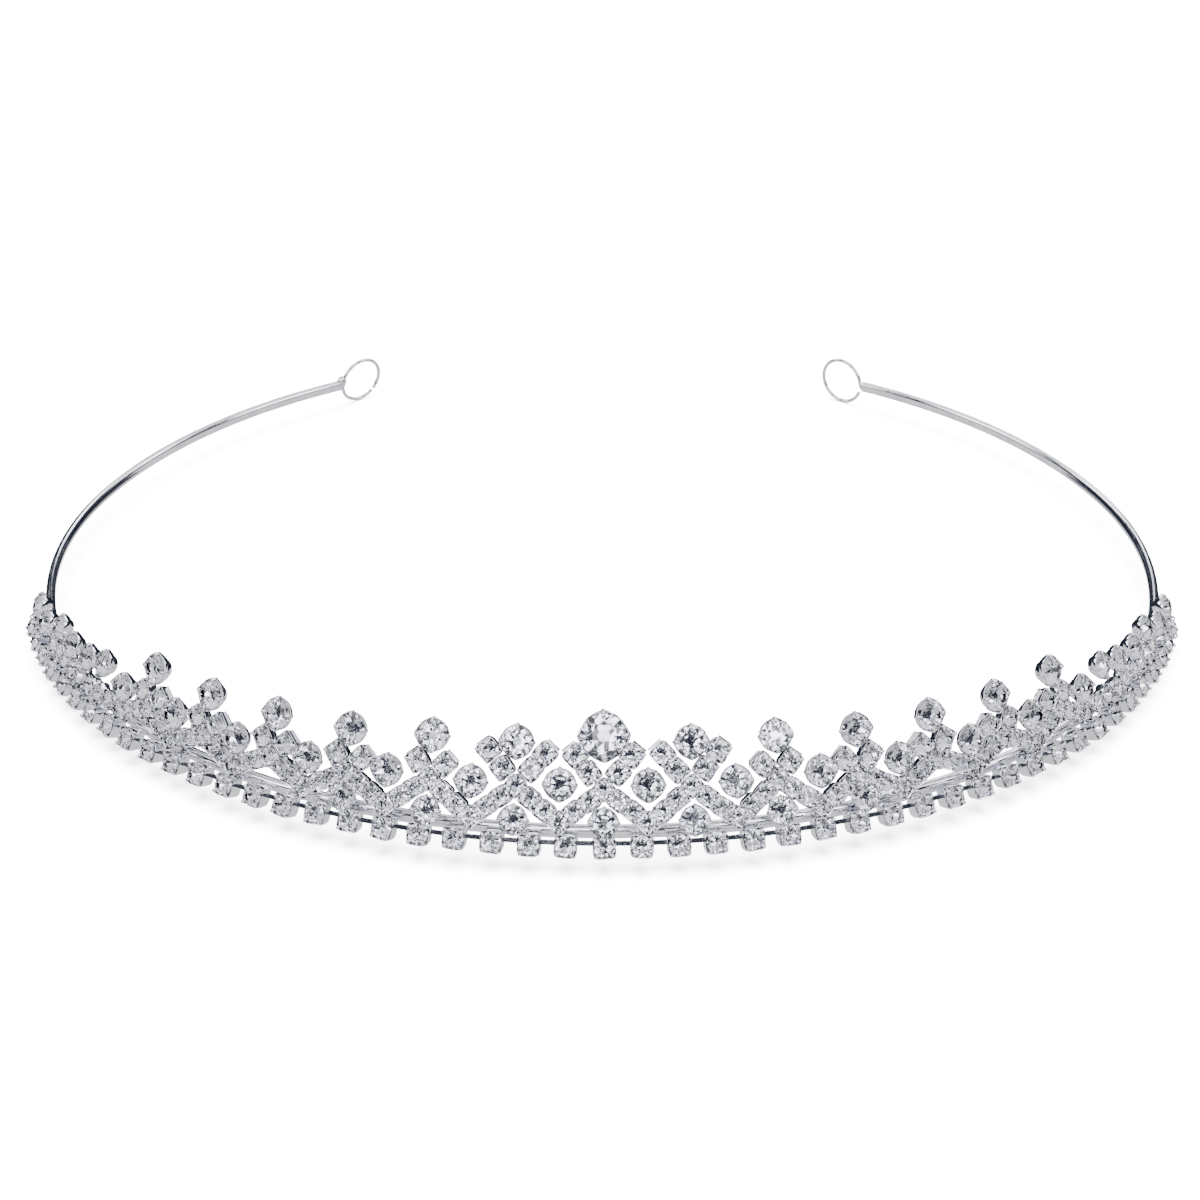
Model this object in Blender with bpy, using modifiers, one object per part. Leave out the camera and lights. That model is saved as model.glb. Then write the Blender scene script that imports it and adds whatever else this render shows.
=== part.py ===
"""Bridal tiara: an oval wire headband with two hairgrip loops, a soldered base
row of square cups, a lattice of small cup chain, and round claw-set stones.

Everything is laid out on a leaning panel that follows the band. A place on the
panel is (along, up, out): distance along the band from its middle, height above
the centres of the base row, and depth towards the viewer's side.
Metres, +Z up, the open side of the band at +Y.
"""

import math

import bmesh
import bpy
from mathutils import Matrix, Vector

MM = 0.001

# Headband: tangent arcs of one half, front to back, as (radius, length)
BAND_ARCS = ((75.0 * MM, 51.0 * MM), (66.0 * MM, 76.0 * MM), (74.0 * MM, 60.0 * MM))
BAND_HALF_LENGTH = 178.7 * MM
BAND_HEIGHT = 1.6 * MM
BAND_DEPTH = 1.2 * MM
BAND_FLAT = 0.64 * MM
BAND_FACETS = 79

# Hairgrip loops at the ends of the band
RING_RADIUS = 3.1 * MM
RING_WIRE = 0.28 * MM
RING_REACH = 4.0 * MM
RING_GAP = math.radians(26)
RING_POINTS = 21

# The leaning panel, from the middle of the band to the centres of the base row
PANEL_LEAN = math.radians(24)
ROW_OUT = 2.05 * MM
ROW_DROP = 0.6 * MM

# Base row of square cups joined by link bars
BASE_PITCH = 3.9 * MM
BASE_PER_SIDE = 23
BASE_CUP = 2.2 * MM
CUP_BACK = -0.95 * MM
CUP_FRONT = 0.85 * MM
LINK_HEIGHT = 0.7 * MM
LINK_BACK = -0.85 * MM
LINK_FRONT = -0.45 * MM
CORE_SIZE = 0.5 * MM

# Lattice of small cup chain: feet, two legs rising to a joint, a V above it
MOTIF_PITCH = 9.45 * MM
SMALL_CUP = 1.45 * MM
FOOT_CUP = 1.3 * MM
FOOT_UP = 2.45 * MM
JOINT_UP = (6.1 * MM, 6.2 * MM, 6.0 * MM, 5.2 * MM, 4.8 * MM, 4.4 * MM, 4.3 * MM)
LEG_CUPS = 2
ARM_STEP = (1.55 * MM, 1.8 * MM)
LONG_ARM_MOTIFS = 2
SMALL_LINK = 0.5 * MM

# Round stones in claw settings, by radius
CENTRE_RADIUS = 2.6 * MM
PEAK_RADIUS = 1.75 * MM
VALLEY_RADIUS = 1.6 * MM
BASE_RADIUS = 1.45 * MM
BASE_STONE_UP = 2.8 * MM
BASE_STONE_MOTIFS = 4
PEAK_ABOVE_JOINT = 4.8 * MM
CENTRE_ABOVE_JOINT = 5.75 * MM
VALLEY_UP = (6.6 * MM, 6.4 * MM, 6.3 * MM, 5.8 * MM, 5.5 * MM, 5.4 * MM, 5.1 * MM)
SETTING_STEPS = 10

# Low end of each side: a short chain with a run of round stones above it
END_CHAIN_FIRST = 63.9 * MM
END_CHAIN_PITCH = 2.35 * MM
END_CHAIN_CUPS = 8
END_CHAIN_UP = 2.55 * MM
END_STONES = (
    (66.4 * MM, 6.1 * MM),
    (70.2 * MM, 5.3 * MM),
    (74.6 * MM, 4.9 * MM),
    (79.4 * MM, 5.1 * MM),
    (84.6 * MM, 3.3 * MM),
    (89.6 * MM, 3.0 * MM),
)
END_STONE_RADIUS = 1.6 * MM

SILVER = (0.80, 0.81, 0.85, 1.0)
CRYSTAL = (0.86, 0.88, 0.93, 1.0)

SIDES = (("right", 1), ("left", -1))


def clear_scene():
    """Removes every object that the file starts with."""
    for item in list(bpy.data.objects):
        bpy.data.objects.remove(item)


def make_collection(name):
    """Makes a collection and links it to the scene."""
    collection = bpy.data.collections.new(name)
    bpy.context.scene.collection.children.link(collection)
    return collection


def make_material(name, colour, metallic, roughness):
    """Makes a Principled material."""
    material = bpy.data.materials.new(name)
    material.use_nodes = True
    shader = material.node_tree.nodes["Principled BSDF"]
    shader.inputs["Base Color"].default_value = colour
    shader.inputs["Metallic"].default_value = metallic
    shader.inputs["Roughness"].default_value = roughness
    return material


def silver(name):
    """The plated metal of one sub-part."""
    return make_material(f"{name}_plating", SILVER, 1.0, 0.12)


def crystal(name):
    """The glass of one stone."""
    return make_material(f"{name}_glass", CRYSTAL, 0.0, 0.05)


def add_object(name, data, collection, material=None):
    """Adds an object with its material to a collection."""
    item = bpy.data.objects.new(name, data)
    collection.objects.link(item)
    if material:
        data.materials.append(material)
    return item


def band_frame(along):
    """Point, direction of travel and outward direction on the band's centre line."""
    x = y = heading = 0.0
    left = abs(along)
    for radius, length in BAND_ARCS:
        turn = min(left, length) / radius
        x += radius * (math.sin(heading + turn) - math.sin(heading))
        y += radius * (math.cos(heading) - math.cos(heading + turn))
        heading += turn
        left -= min(left, length)
    side = math.copysign(1.0, along)
    heading *= side
    travel = Vector((math.cos(heading), math.sin(heading), 0.0))
    outward = Vector((math.sin(heading), -math.cos(heading), 0.0))
    return Vector((side * x, y, 0.0)), travel, outward


def panel_matrix(along, up, out=0.0):
    """Frame on the panel: X along the band, Y up the panel, Z out of its face."""
    centre, travel, outward = band_frame(along)
    rise = Vector((0.0, 0.0, math.cos(PANEL_LEAN))) - outward * math.sin(PANEL_LEAN)
    face = travel.cross(rise)
    origin = centre + outward * ROW_OUT - Vector((0.0, 0.0, ROW_DROP))
    origin += rise * up + face * out
    axes = Matrix((travel, rise, face)).transposed().to_4x4()
    return Matrix.Translation(origin) @ axes


def bend_onto_panel(mesh):
    """Moves a mesh drawn flat in (along, up, out) onto the leaning, curved panel."""
    for vertex in mesh.vertices:
        along, up, out = vertex.co
        vertex.co = panel_matrix(along, up, out).translation


def flat_box(shape, middle, size, turn=0.0):
    """Adds a box to a flat drawing; middle and size are (along, up, out)."""
    placed = Matrix.Translation(middle) @ Matrix.Rotation(turn, 4, "Z")
    bmesh.ops.create_cube(shape, size=1.0, matrix=placed @ Matrix.Diagonal((*size, 1.0)))


def flat_cup(shape, place, width, turn=0.0):
    """Adds one square cup at (along, up)."""
    middle = (*place, (CUP_FRONT + CUP_BACK) / 2)
    flat_box(shape, middle, (width, width, CUP_FRONT - CUP_BACK), turn)


def flat_link(shape, start, end, height):
    """Adds the link bar between the middles of two cups, low in their depth."""
    run = (end[0] - start[0], end[1] - start[1])
    middle = ((start[0] + end[0]) / 2, (start[1] + end[1]) / 2, (LINK_FRONT + LINK_BACK) / 2)
    size = (math.hypot(*run), height, LINK_FRONT - LINK_BACK)
    flat_box(shape, middle, size, math.atan2(run[1], run[0]))


def flat_links_between(shape, places, cup, height):
    """Adds a link bar in each gap of a straight row, its ends inside the cups."""
    for start, end in zip(places, places[1:]):
        reach = math.copysign(cup / 4, end[0] - start[0])
        flat_link(shape, (start[0] + reach, start[1]), (end[0] - reach, end[1]), height)


def flat_stone(shape, place, radius):
    """Adds a small round setting to a flat drawing."""
    depth = CUP_FRONT - CUP_BACK
    bmesh.ops.create_cone(
        shape,
        cap_ends=True,
        segments=SETTING_STEPS,
        radius1=radius * 0.7,
        radius2=radius,
        depth=depth,
        matrix=Matrix.Translation((*place, (CUP_FRONT + CUP_BACK) / 2 + 0.1 * MM)),
    )


def joined_solid(name, shape, inside, parts, tools):
    """Makes one closed body of the overlapping pieces in a flat drawing, bent to place.

    The union needs a second shape, so it gets a core that lies within the cup at inside.
    """
    drawing = bpy.data.meshes.new(f"{name}_drawing")
    shape.to_mesh(drawing)
    shape.free()
    loose = add_object(f"{name}_pieces", drawing, tools)
    core_shape = bmesh.new()
    flat_box(core_shape, (*inside, 0.0), (CORE_SIZE, CORE_SIZE, CORE_SIZE))
    core_mesh = bpy.data.meshes.new(f"{name}_core")
    core_shape.to_mesh(core_mesh)
    core_shape.free()
    core = add_object(f"{name}_core", core_mesh, tools)
    union = loose.modifiers.new("union", "BOOLEAN")
    union.operation = "UNION"
    union.use_self = True
    union.object = core
    depsgraph = bpy.context.evaluated_depsgraph_get()
    mesh = bpy.data.meshes.new_from_object(loose.evaluated_get(depsgraph))
    bpy.data.objects.remove(loose)
    bpy.data.objects.remove(core)
    bend_onto_panel(mesh)
    return add_object(name, mesh, parts, silver(name))


def wire_path(name, points, data_dimensions="3D"):
    """Makes a curve of straight runs through the points, with its ends filled."""
    curve = bpy.data.curves.new(name, "CURVE")
    curve.dimensions = data_dimensions
    curve.use_fill_caps = True
    spline = curve.splines.new("POLY")
    spline.points.add(len(points) - 1)
    for point, place in zip(spline.points, points):
        point.co = (*place, 1.0)
    return curve


def build_headband(parts, tools):
    """The band: an oval wire with a narrow flat inside, so that it lies on the head."""
    inner = -BAND_DEPTH / 2
    profile_points = [(inner, -BAND_FLAT / 2, 0.0), (inner, BAND_FLAT / 2, 0.0)]
    for step in range(7):
        angle = math.radians(120 - 40 * step)
        reach = (BAND_DEPTH * math.cos(angle), BAND_HEIGHT * math.sin(angle))
        profile_points.append((reach[0] / 2, reach[1] / 2, 0.0))
    profile = wire_path("band_profile", profile_points, "2D")
    profile.use_fill_caps = False
    profile.splines[0].use_cyclic_u = True
    profile_item = add_object("band_profile", profile, tools)
    profile_item.hide_render = True
    steps = [step / BAND_FACETS - 0.5 for step in range(BAND_FACETS + 1)]
    path = wire_path("headband", [band_frame(2 * BAND_HALF_LENGTH * step)[0] for step in steps])
    path.twist_mode = "Z_UP"
    path.bevel_mode = "OBJECT"
    path.bevel_object = profile_item
    add_object("headband", path, parts, silver("headband"))


def build_ring(side_name, side, parts):
    """A hairgrip loop of round wire, upright at the band's end, with its butt joint open."""
    end, travel, _ = band_frame(side * BAND_HALF_LENGTH)
    travel *= side
    centre = end + travel * RING_REACH
    span = math.tau - RING_GAP
    first = math.pi + RING_GAP
    points = []
    for step in range(RING_POINTS + 1):
        angle = first + span * step / RING_POINTS
        reach = travel * math.cos(angle) + Vector((0.0, 0.0, math.sin(angle)))
        points.append(centre + reach * RING_RADIUS)
    name = f"{side_name}_end_ring"
    wire = wire_path(name, points)
    wire.bevel_depth = RING_WIRE
    wire.bevel_resolution = 2
    add_object(name, wire, parts, silver(name))


def build_base_row(parts, tools):
    """The base row: square cups at one pitch on link bars, as one soldered chain."""
    shape = bmesh.new()
    places = [(BASE_PITCH * n, 0.0) for n in range(-BASE_PER_SIDE, BASE_PER_SIDE + 1)]
    for place in places:
        flat_cup(shape, place, BASE_CUP)
    flat_links_between(shape, places, BASE_CUP, LINK_HEIGHT)
    joined_solid("base_cup_chain", shape, places[0], parts, tools)


def leg_places(foot, joint):
    """Cup places on a leg, from its foot up to just below the joint."""
    places = []
    for step in range(1, LEG_CUPS + 1):
        share = step / (LEG_CUPS + 1)
        places.append((foot[0] + (joint[0] - foot[0]) * share, foot[1] + (joint[1] - foot[1]) * share))
    return places


def build_motif(name, middle, rank, feet, parts, tools):
    """One lattice motif: two legs, a joint, a V of cups and the round stone under the joint."""
    shape = bmesh.new()
    joint = (middle, JOINT_UP[rank])
    flat_cup(shape, joint, SMALL_CUP, math.radians(45))
    for way in (-1, 1):
        foot = (middle + way * MOTIF_PITCH / 2, FOOT_UP)
        leg = leg_places(foot, joint)
        lean = math.atan2(joint[1] - foot[1], joint[0] - foot[0])
        for place in leg:
            flat_cup(shape, place, SMALL_CUP, lean)
        start = foot if way in feet else leg[0]
        if way in feet:
            flat_cup(shape, foot, FOOT_CUP, math.radians(45))
        flat_link(shape, start, joint, SMALL_LINK)
        arm_cups = 2 if rank < LONG_ARM_MOTIFS else 1
        arm_end = joint
        for step in range(1, arm_cups + 1):
            arm_end = (joint[0] + way * step * ARM_STEP[0], joint[1] + step * ARM_STEP[1])
            flat_cup(shape, arm_end, SMALL_CUP, math.atan2(ARM_STEP[1], ARM_STEP[0]))
        flat_link(shape, joint, arm_end, SMALL_LINK)
    if rank < BASE_STONE_MOTIFS:
        flat_stone(shape, (middle, BASE_STONE_UP), BASE_RADIUS)
        flat_box(
            shape,
            (middle, (BASE_STONE_UP + joint[1]) / 2, (LINK_FRONT + LINK_BACK) / 2),
            (SMALL_LINK, joint[1] - BASE_STONE_UP, LINK_FRONT - LINK_BACK),
        )
    joined_solid(name, shape, joint, parts, tools)


def build_end_chain(side_name, side, parts, tools):
    """The low chain that closes the lattice on one side."""
    shape = bmesh.new()
    steps = range(END_CHAIN_CUPS)
    places = [(side * (END_CHAIN_FIRST + END_CHAIN_PITCH * n), END_CHAIN_UP) for n in steps]
    for place in places:
        flat_cup(shape, place, SMALL_CUP)
    flat_links_between(shape, places, SMALL_CUP, SMALL_LINK)
    joined_solid(f"{side_name}_end_chain", shape, places[0], parts, tools)


def turned(name, outline, place, parts, material):
    """A round piece turned from (radius, height) points, top to bottom, set on the panel."""
    mesh = bpy.data.meshes.new(name)
    points = [(radius, 0.0, height) for radius, height in outline]
    mesh.from_pydata(points, [(n, n + 1) for n in range(len(points) - 1)], [])
    item = add_object(name, mesh, parts, material)
    screw = item.modifiers.new("turn", "SCREW")
    screw.axis = "Z"
    screw.steps = SETTING_STEPS
    screw.render_steps = SETTING_STEPS
    screw.use_merge_vertices = True
    screw.merge_threshold = 0.00005
    screw.use_smooth_shade = False
    item.matrix_world = panel_matrix(*place)
    return item


def build_round_stone(name, place, radius, parts):
    """A round stone in its claw setting, as one turned piece."""
    outline = (
        (0.0, 1.0 * MM),
        (radius * 0.6, 1.0 * MM),
        (radius, 0.5 * MM),
        (radius, -0.3 * MM),
        (radius * 0.65, -1.05 * MM),
        (0.0, -1.05 * MM),
    )
    turned(name, outline, (*place, 0.0), parts, silver(name))


def build_centre_stone(parts):
    """The tall centre stone and its open cup setting, as two pieces."""
    place = (0.0, JOINT_UP[0] + CENTRE_ABOVE_JOINT, 0.0)
    wall = 0.25 * MM
    gap = 0.3 * MM
    inner = CENTRE_RADIUS - wall
    setting = (
        (0.0, -0.9 * MM),
        (inner * 0.6, -0.9 * MM),
        (inner, -0.1 * MM),
        (inner, 0.5 * MM),
        (CENTRE_RADIUS, 0.5 * MM),
        (CENTRE_RADIUS, -0.2 * MM),
        (CENTRE_RADIUS * 0.65, -1.2 * MM),
        (0.0, -1.2 * MM),
    )
    turned("centre_peak_setting", setting, place, parts, silver("centre_peak_setting"))
    edge = inner - gap
    stone = (
        (0.0, 1.4 * MM),
        (edge * 0.55, 1.4 * MM),
        (edge, 0.7 * MM),
        (edge, 0.4 * MM),
        (edge * 0.5, -0.35 * MM),
        (0.0, -0.5 * MM),
    )
    turned("centre_peak_stone", stone, place, parts, crystal("centre_peak_stone"))


def build_side(side_name, side, parts, tools):
    """Everything that repeats to the right and to the left of the centre motif."""
    for rank in range(1, len(JOINT_UP)):
        middle = side * rank * MOTIF_PITCH
        build_motif(f"{side_name}_lattice_{rank}", middle, rank, (side,), parts, tools)
        peak = (middle, JOINT_UP[rank] + PEAK_ABOVE_JOINT)
        build_round_stone(f"{side_name}_peak_stone_{rank}", peak, PEAK_RADIUS, parts)
    for rank, up in enumerate(VALLEY_UP, start=1):
        valley = (side * (rank - 0.5) * MOTIF_PITCH, up)
        build_round_stone(f"{side_name}_valley_stone_{rank}", valley, VALLEY_RADIUS, parts)
    for rank, (along, up) in enumerate(END_STONES, start=1):
        name = f"{side_name}_end_stone_{rank}"
        build_round_stone(name, (side * along, up), END_STONE_RADIUS, parts)
    build_end_chain(side_name, side, parts, tools)
    build_ring(side_name, side, parts)


def stand_on_floor(parts):
    """Hangs every part from one empty, so that the box's bottom centre is the origin."""
    depsgraph = bpy.context.evaluated_depsgraph_get()
    low = Vector((math.inf,) * 3)
    high = Vector((-math.inf,) * 3)
    for item in parts.objects:
        solid = item.evaluated_get(depsgraph)
        mesh = solid.to_mesh()
        for vertex in mesh.vertices:
            point = solid.matrix_world @ vertex.co
            low = Vector(map(min, low, point))
            high = Vector(map(max, high, point))
        solid.to_mesh_clear()
    base = bpy.data.objects.new("tiara_base", None)
    bpy.context.scene.collection.objects.link(base)
    base.location = (-(low.x + high.x) / 2, -(low.y + high.y) / 2, -low.z)
    for item in parts.objects:
        item.parent = base


def main():
    """Builds the tiara."""
    clear_scene()
    parts = make_collection("bridal_tiara")
    tools = make_collection("tiara_tools")
    build_headband(parts, tools)
    build_base_row(parts, tools)
    build_motif("centre_lattice", 0.0, 0, (-1, 1), parts, tools)
    build_centre_stone(parts)
    for side_name, side in SIDES:
        build_side(side_name, side, parts, tools)
    stand_on_floor(parts)


main()
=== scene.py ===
"""Looks of the bridal tiara: plated wire band, cup chain, claw settings and foiled cut stones.

Every place comes from one layout: distance along the band from its middle, height up
the leaning panel from the base row, and depth out of the panel's face.
"""

import logging
import math
import random
from dataclasses import dataclass, field
from enum import Enum
from typing import Iterable, Optional, Sequence

import bpy
from mathutils import Matrix, Vector


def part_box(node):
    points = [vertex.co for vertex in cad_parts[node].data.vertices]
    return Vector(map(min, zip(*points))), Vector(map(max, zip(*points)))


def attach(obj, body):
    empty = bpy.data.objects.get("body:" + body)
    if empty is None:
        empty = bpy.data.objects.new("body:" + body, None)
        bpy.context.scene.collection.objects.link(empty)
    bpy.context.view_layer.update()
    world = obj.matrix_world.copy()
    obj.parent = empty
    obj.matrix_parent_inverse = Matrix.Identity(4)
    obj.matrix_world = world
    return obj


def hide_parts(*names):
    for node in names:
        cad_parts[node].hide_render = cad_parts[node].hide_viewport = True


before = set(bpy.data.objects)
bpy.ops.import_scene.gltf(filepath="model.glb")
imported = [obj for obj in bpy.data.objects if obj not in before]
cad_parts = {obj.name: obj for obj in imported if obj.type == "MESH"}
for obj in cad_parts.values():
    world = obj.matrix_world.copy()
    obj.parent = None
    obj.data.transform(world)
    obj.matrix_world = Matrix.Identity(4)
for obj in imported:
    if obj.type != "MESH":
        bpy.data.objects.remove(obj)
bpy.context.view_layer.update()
BODY = "root"
MM = 0.001
FACET_DIP = 0.034 * MM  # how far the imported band's flat facets fall short of its true curve
Place = tuple[float, float]
log = logging.getLogger("tiara")


class Slot(Enum):
    """The record's material slots."""

    BAND = "band_plating"
    CHAIN = "chain_plating"
    SETTING = "setting_plating"
    CRYSTAL = "crystal"


class Side(Enum):
    """The two halves of the tiara; the value is the sign of the distance along the band."""

    RIGHT = 1
    LEFT = -1

    @property
    def label(self) -> str:
        """The side's name as the CAD nodes use it."""
        return self.name.lower()


# ---------------------------------------------------------------- shader tools


class Signal:
    """A number that runs through a node tree, so that shader maths reads as an expression."""

    def __init__(self, bench: "NodeBench", socket: bpy.types.NodeSocket) -> None:
        """Wraps one output socket.

        Args:
            bench: The node bench that holds the socket's tree.
            socket: The output socket.
        """
        self.bench = bench
        self.socket = socket

    def _math(self, operation: str, first: object, second: object) -> "Signal":
        """Adds one Math node.

        Args:
            operation: The Math node's operation.
            first: A number or a Signal.
            second: A number or a Signal.

        Returns:
            The node's result.
        """
        node = self.bench.make("ShaderNodeMath", {"operation": operation}, {0: first, 1: second})
        return Signal(self.bench, node.outputs[0])

    def __add__(self, other: object) -> "Signal":
        """Sum."""
        return self._math("ADD", self, other)

    def __radd__(self, other: object) -> "Signal":
        """Sum with the Signal on the right."""
        return self._math("ADD", other, self)

    def __sub__(self, other: object) -> "Signal":
        """Difference."""
        return self._math("SUBTRACT", self, other)

    def __rsub__(self, other: object) -> "Signal":
        """Difference with the Signal on the right."""
        return self._math("SUBTRACT", other, self)

    def __mul__(self, other: object) -> "Signal":
        """Product."""
        return self._math("MULTIPLY", self, other)

    def __rmul__(self, other: object) -> "Signal":
        """Product with the Signal on the right."""
        return self._math("MULTIPLY", other, self)

    def __gt__(self, other: object) -> "Signal":
        """1 where this is greater, else 0."""
        return self._math("GREATER_THAN", self, other)

    def __lt__(self, other: object) -> "Signal":
        """1 where this is less, else 0."""
        return self._math("LESS_THAN", self, other)


class NodeBench:
    """Makes and joins the nodes of one tree."""

    def __init__(self, tree: bpy.types.NodeTree) -> None:
        """Starts on an emptied tree.

        Args:
            tree: The material's or the world's node tree.
        """
        self.tree = tree
        tree.nodes.clear()

    def make(
        self, kind: str, settings: Optional[dict] = None, inputs: Optional[dict] = None
    ) -> bpy.types.Node:
        """Makes one node of any kind.

        Args:
            kind: The node's type name.
            settings: Attributes that are set first; stops holds a ramp's (place, colour) pairs.
            inputs: Values, Signals or output sockets by input name or number.

        Returns:
            The node.
        """
        node = self.tree.nodes.new(kind)
        for key, value in (settings or {}).items():
            if key == "stops":
                self._set_stops(node.color_ramp, value)
            else:
                setattr(node, key, value)
        for key, value in (inputs or {}).items():
            socket = node.inputs[key]
            if isinstance(value, Signal):
                value = value.socket
            if isinstance(value, bpy.types.NodeSocket):
                self.tree.links.new(value, socket)
            else:
                socket.default_value = value
        return node

    @staticmethod
    def _set_stops(ramp: bpy.types.ColorRamp, stops: Sequence[tuple[float, tuple]]) -> None:
        """Gives a ramp its stops.

        Args:
            ramp: The colour ramp.
            stops: (place, colour) pairs in order.
        """
        while len(ramp.elements) < len(stops):
            ramp.elements.new(0.5)
        for element, (place, colour) in zip(ramp.elements, stops):
            element.position = place
            element.color = colour

    def signal(self, node: bpy.types.Node, output: str) -> Signal:
        """One output of a node as a Signal."""
        return Signal(self, node.outputs[output])

    def blend(self, share: object, first: tuple, second: tuple) -> bpy.types.NodeSocket:
        """Mixes two colours.

        Args:
            share: How much of the second colour, from 0 to 1.
            first: The colour at 0.
            second: The colour at 1.

        Returns:
            The mixed colour's socket.
        """
        settings = {"data_type": "RGBA"}
        node = self.make("ShaderNodeMix", settings, {0: share, 6: first, 7: second})
        return node.outputs[2]

    def surface(self, inputs: dict) -> None:
        """Ends the tree in a Principled shader with these inputs."""
        shader = self.make("ShaderNodeBsdfPrincipled", None, inputs)
        self.make("ShaderNodeOutputMaterial", None, {"Surface": shader.outputs[0]})

    def noise(self, scale: tuple[float, float, float], detail: float = 3.0) -> Signal:
        """Noise over the piece's own coordinates.

        Args:
            scale: How many cells a metre holds along each axis.
            detail: The noise's octaves.

        Returns:
            A Signal from 0 to 1.
        """
        place = self.make("ShaderNodeTexCoord").outputs["Object"]
        mapped = self.make("ShaderNodeMapping", None, {"Vector": place, "Scale": scale})
        inputs = {"Vector": mapped.outputs[0], "Scale": 1.0, "Detail": detail}
        return self.signal(self.make("ShaderNodeTexNoise", None, inputs), "Fac")


def new_material(name: str) -> tuple[bpy.types.Material, NodeBench]:
    """Makes an empty node material.

    Args:
        name: The material's name.

    Returns:
        The material and its node bench.
    """
    material = bpy.data.materials.new(name)
    material.use_nodes = True
    return material, NodeBench(material.node_tree)


# ------------------------------------------------------------------- finishes


@dataclass(frozen=True)
class Plating:
    """Bright silver-coloured plating over brass.

    Attributes:
        name: The material's name.
        bright: Colour where the plating is clean.
        dull: Colour where it is handled or thin.
        polish: Roughness of the clean metal.
        haze: Roughness added where it is dull.
        grain: Cells a metre of the fine surface grain along each axis.
        relief: Height of the grain in metres.
    """

    name: str
    bright: tuple = (0.92, 0.92, 0.95, 1.0)
    dull: tuple = (0.72, 0.73, 0.80, 1.0)
    polish: float = 0.07
    haze: float = 0.16
    grain: tuple = (1500.0, 1500.0, 1500.0)
    relief: float = 0.000006

    def material(self) -> bpy.types.Material:
        """Builds the plated metal.

        Returns:
            The material.
        """
        made, bench = new_material(self.name)
        clouds = bench.noise((420.0, 420.0, 420.0))
        grain = bench.noise(self.grain, 2.0)
        worn = (clouds - 0.42) * 2.6
        colour = bench.blend(worn, self.bright, self.dull)
        rough = self.polish + self.haze * (clouds * grain)
        bump = bench.make("ShaderNodeBump", None, {"Strength": 0.5, "Distance": self.relief, "Height": grain})
        normal = bump.outputs[0]
        bench.surface({"Base Color": colour, "Metallic": 1.0, "Roughness": rough, "Normal": normal})
        return made


@dataclass(frozen=True)
class CutGlass:
    """Clear polished crystal glass.

    Attributes:
        name: The material's name.
        tint: Colour of the glass where it is clearest.
        veil: Colour of its faint streaks.
        index: Refractive index.
    """

    name: str
    tint: tuple = (0.985, 0.985, 1.0, 1.0)
    veil: tuple = (0.93, 0.94, 0.97, 1.0)
    index: float = 1.56

    def material(self) -> bpy.types.Material:
        """Builds the glass.

        Returns:
            The material.
        """
        made, bench = new_material(self.name)
        streaks = bench.noise((700.0, 700.0, 700.0), 2.0)
        colour = bench.blend(streaks, self.tint, self.veil)
        clear = {"Roughness": 0.0, "IOR": self.index, "Transmission Weight": 1.0}
        bench.surface({"Base Color": colour, **clear})
        return made


@dataclass(frozen=True)
class Foil:
    """The mirror foil on the back facets of a stone.

    Attributes:
        name: The material's name.
        bright: Colour of fresh foil.
        tired: Colour of foil that has dulled.
        polish: Roughness of the foil.
        haze: Roughness added where it has dulled.
    """

    name: str
    bright: tuple = (0.95, 0.95, 0.97, 1.0)
    tired: tuple = (0.70, 0.71, 0.77, 1.0)
    polish: float = 0.02
    haze: float = 0.08

    def material(self) -> bpy.types.Material:
        """Builds the foil.

        Returns:
            The material.
        """
        made, bench = new_material(self.name)
        patches = bench.noise((520.0, 520.0, 520.0), 2.0)
        colour = bench.blend((patches - 0.45) * 3.0, self.bright, self.tired)
        rough = self.polish + self.haze * patches
        bench.surface({"Base Color": colour, "Metallic": 1.0, "Roughness": rough})
        return made


@dataclass
class Palette:
    """The finishes that the pieces share, each built once."""

    band: bpy.types.Material = field(init=False)
    chain: bpy.types.Material = field(init=False)
    setting: bpy.types.Material = field(init=False)
    solder: bpy.types.Material = field(init=False)
    glass: bpy.types.Material = field(init=False)
    foil: bpy.types.Material = field(init=False)

    def __post_init__(self) -> None:
        """Builds every finish."""
        drawn = (60.0, 60.0, 9000.0)
        self.band = Plating("drawn_band_plating", grain=drawn, polish=0.09).material()
        self.chain = Plating("cup_chain_plating").material()
        self.setting = Plating("setting_plating", polish=0.05).material()
        self.solder = Plating("solder_plating", dull=(0.6, 0.61, 0.68, 1.0), polish=0.16).material()
        self.glass = CutGlass("crystal_glass").material()
        self.foil = Foil("stone_foil").material()


# ------------------------------------------------------------------ mesh tools


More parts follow.
